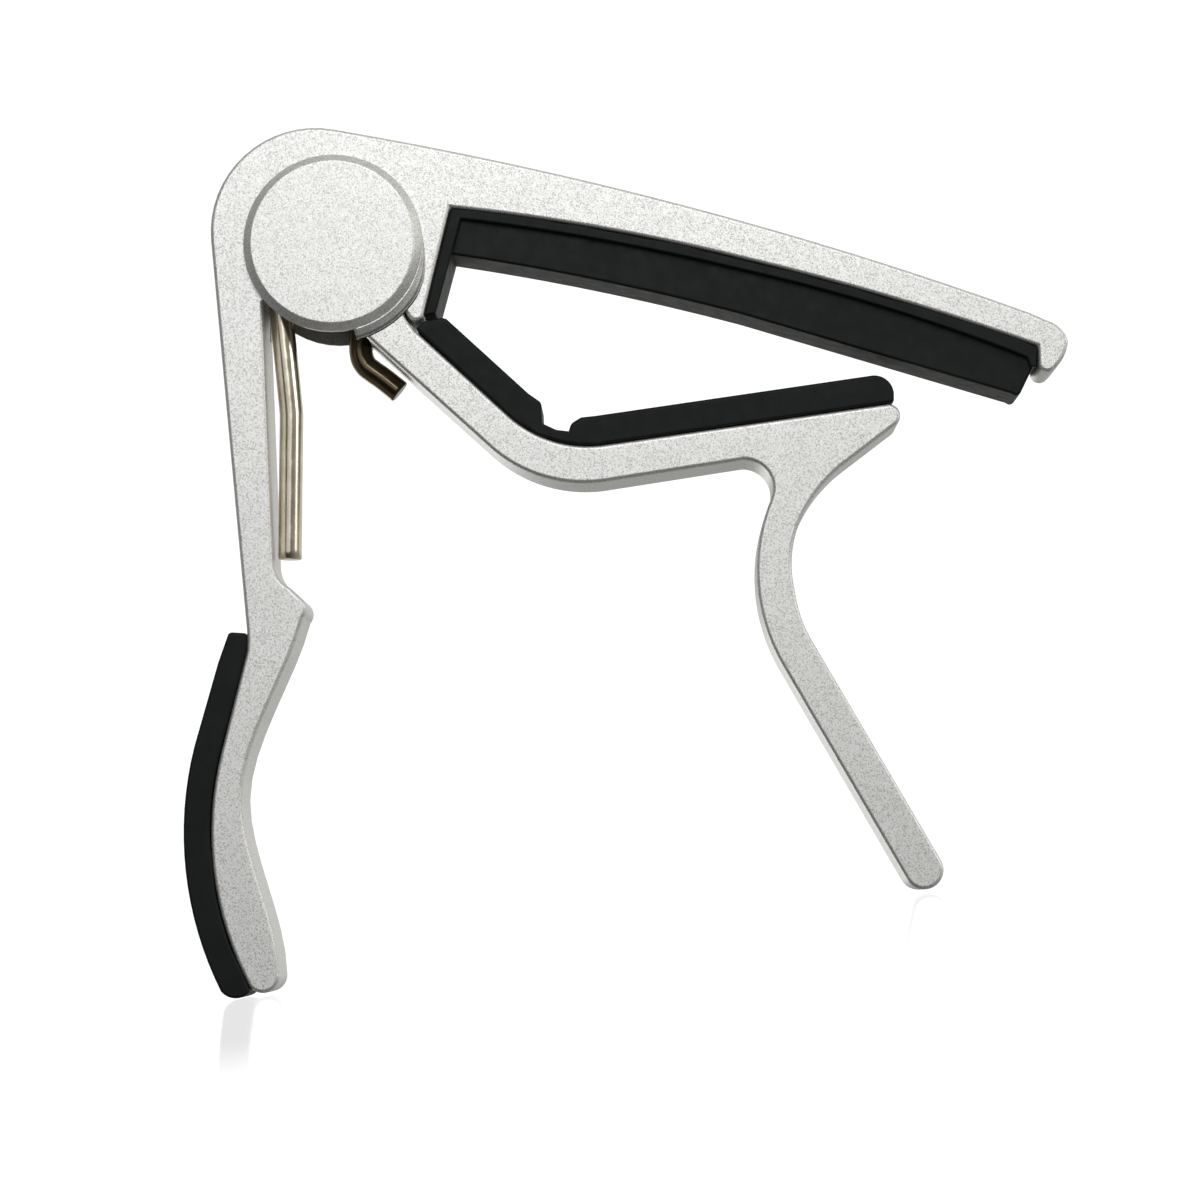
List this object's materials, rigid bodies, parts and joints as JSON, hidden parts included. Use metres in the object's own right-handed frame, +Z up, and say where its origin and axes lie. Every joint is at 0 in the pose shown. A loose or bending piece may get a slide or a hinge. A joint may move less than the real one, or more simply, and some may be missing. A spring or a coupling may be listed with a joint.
{
  "type": "guitar capo",
  "caption": "Trigger-style spring capo: aluminium arm and sprung jaw with rubber pads that clamp across a guitar neck and open when handle and trigger are squeezed.",
  "frame": {"origin": "centre of the bounding box, on the ground that the capo stands on with its handle end and its trigger end", "axes": "+Z up; +X from the handle towards the tip of the clamping arm; +Y through the thickness, along the pivot pin, from the blind ear to the ear that shows the pin's end"},
  "size_m": [0.0954, 0.0124, 0.0856],
  "materials": {
    "blasted_aluminium": "sand-blasted and clear anodised, satin",
    "pad_rubber": "moulded, satin",
    "spring_steel": "nickel-plated, bright",
    "pin_steel": "ground",
    "sleeve_nylon": "moulded"
  },
  "bodies": {
    "frame": {"upper_frame": "blasted_aluminium", "string_pad": "pad_rubber", "grip_pad": "pad_rubber", "spring_sleeve": "sleeve_nylon", "thrust_washer_front": "pin_steel", "thrust_washer_back": "pin_steel", "torsion_spring": "spring_steel"},
    "jaw": {"lower_jaw": "blasted_aluminium", "neck_pad": "pad_rubber", "pivot_pin": "pin_steel"}
  },
  "joints": [
    {"name": "jaw_pivot", "type": "hinge", "parent": "frame", "child": "jaw", "pos_m": [-0.0238, 0, 0.07337], "axis": [0, 1, 0], "range_deg": [0, 28], "stiffness_Nm_per_rad": 1.2, "springref_deg": -28.65, "deforming": ["torsion_spring"]}
  ]
}
